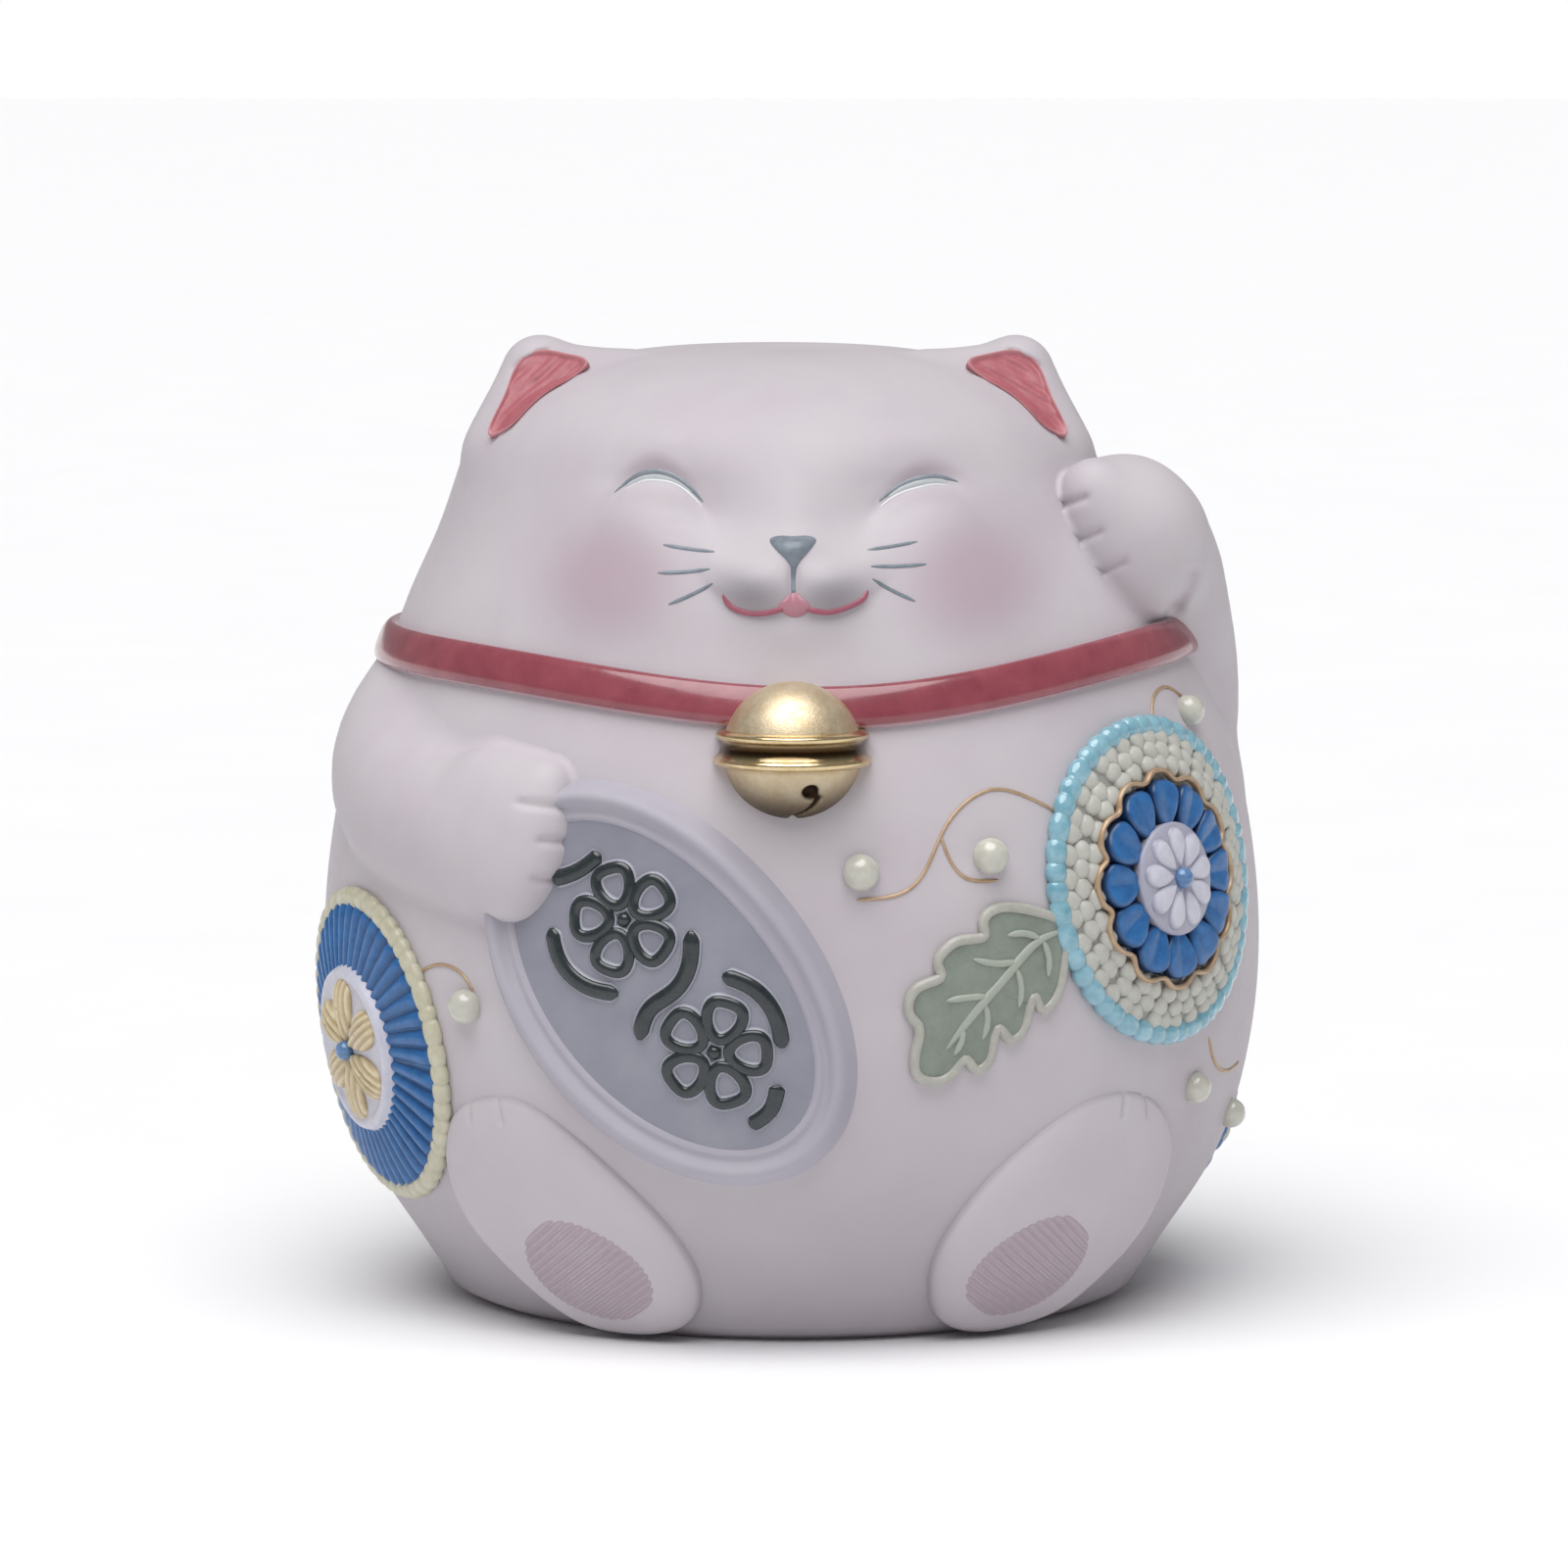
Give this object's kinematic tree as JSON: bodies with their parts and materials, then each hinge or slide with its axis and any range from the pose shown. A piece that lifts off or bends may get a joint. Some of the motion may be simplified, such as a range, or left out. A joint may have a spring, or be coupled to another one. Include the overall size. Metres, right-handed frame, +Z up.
{
  "type": "ceramic cat figurine",
  "caption": "Round hollow porcelain lucky cat with one raised paw, an oval coin, a red collar with a gilt bell, and applied flowers, leaves and pearls.",
  "frame": {"origin": "centre of the flat base, on the surface that the figurine stands on", "axes": "+Z up; the face looks towards -Y; +X is the cat's own left, the side of the raised arm"},
  "size_m": [0.1682, 0.1731, 0.1691],
  "materials": {
    "bisque": "matte bisque porcelain, pale lilac",
    "collar_red": "gloss crimson glaze",
    "ear_pink": "satin pink paint with brush strokes",
    "face_grey": "satin grey-blue paint",
    "mouth_pink": "satin pink paint",
    "sole_pink": "matte bisque, tinted",
    "coin_field": "lilac-blue glaze",
    "coin_ink": "dark green-black glaze",
    "gilt": "brushed gilt",
    "gilt_band": "polished gilt",
    "turquoise": "gloss turquoise glaze",
    "scale_cream": "satin cream",
    "cobalt": "cobalt blue enamel",
    "white_petal": "satin white",
    "cream_petal": "satin cream yellow",
    "cream_rim": "gloss cream glaze",
    "bead_blue": "gloss blue glaze",
    "leaf_green": "satin grey-green enamel",
    "leaf_vein": "satin white",
    "pearl": "gloss pearl white",
    "vine_gold": "gold-brown line"
  },
  "bodies": {
    "root": {"body_shell": "bisque", "head_shell": "bisque", "ear_left": "bisque", "ear_right": "bisque", "ear_lining_left": "ear_pink", "ear_lining_right": "ear_pink", "eyelid_left": "face_grey", "eyelid_right": "face_grey", "nose": "face_grey", "mouth_line": "mouth_pink", "tongue": "mouth_pink", "whiskers": "face_grey", "raised_left_arm": "bisque", "right_arm": "bisque", "coin_rim": "bisque", "coin_field": "coin_field", "coin_ornament": "coin_ink", "collar": "collar_red", "bell_ball": "gilt", "bell_band": "gilt_band", "foot_left": "bisque", "foot_right": "bisque", "sole_pad_left": "sole_pink", "sole_pad_right": "sole_pink", "tail": "bisque", "left_flower_rim": "turquoise", "left_flower_scales": "scale_cream", "left_flower_ring": "vine_gold", "left_flower_petals": "cobalt", "left_flower_centre": "white_petal", "left_flower_centre_petals": "white_petal", "left_flower_bead": "bead_blue", "right_flower_rim": "cream_rim", "right_flower_pleats": "cobalt", "right_flower_disc": "white_petal", "right_flower_petals": "cream_petal", "right_flower_bead": "bead_blue", "back_flower_rim": "cream_rim", "back_flower_pleats": "cobalt", "back_flower_disc": "white_petal", "back_flower_petals": "cream_petal", "back_flower_bead": "bead_blue", "small_flower_petals": "cobalt", "small_flower_bead": "cream_rim", "leaf": "leaf_green", "leaf_veins": "leaf_vein", "back_leaf": "leaf_green", "pearls": "pearl", "vines": "vine_gold"}
  },
  "joints": []
}
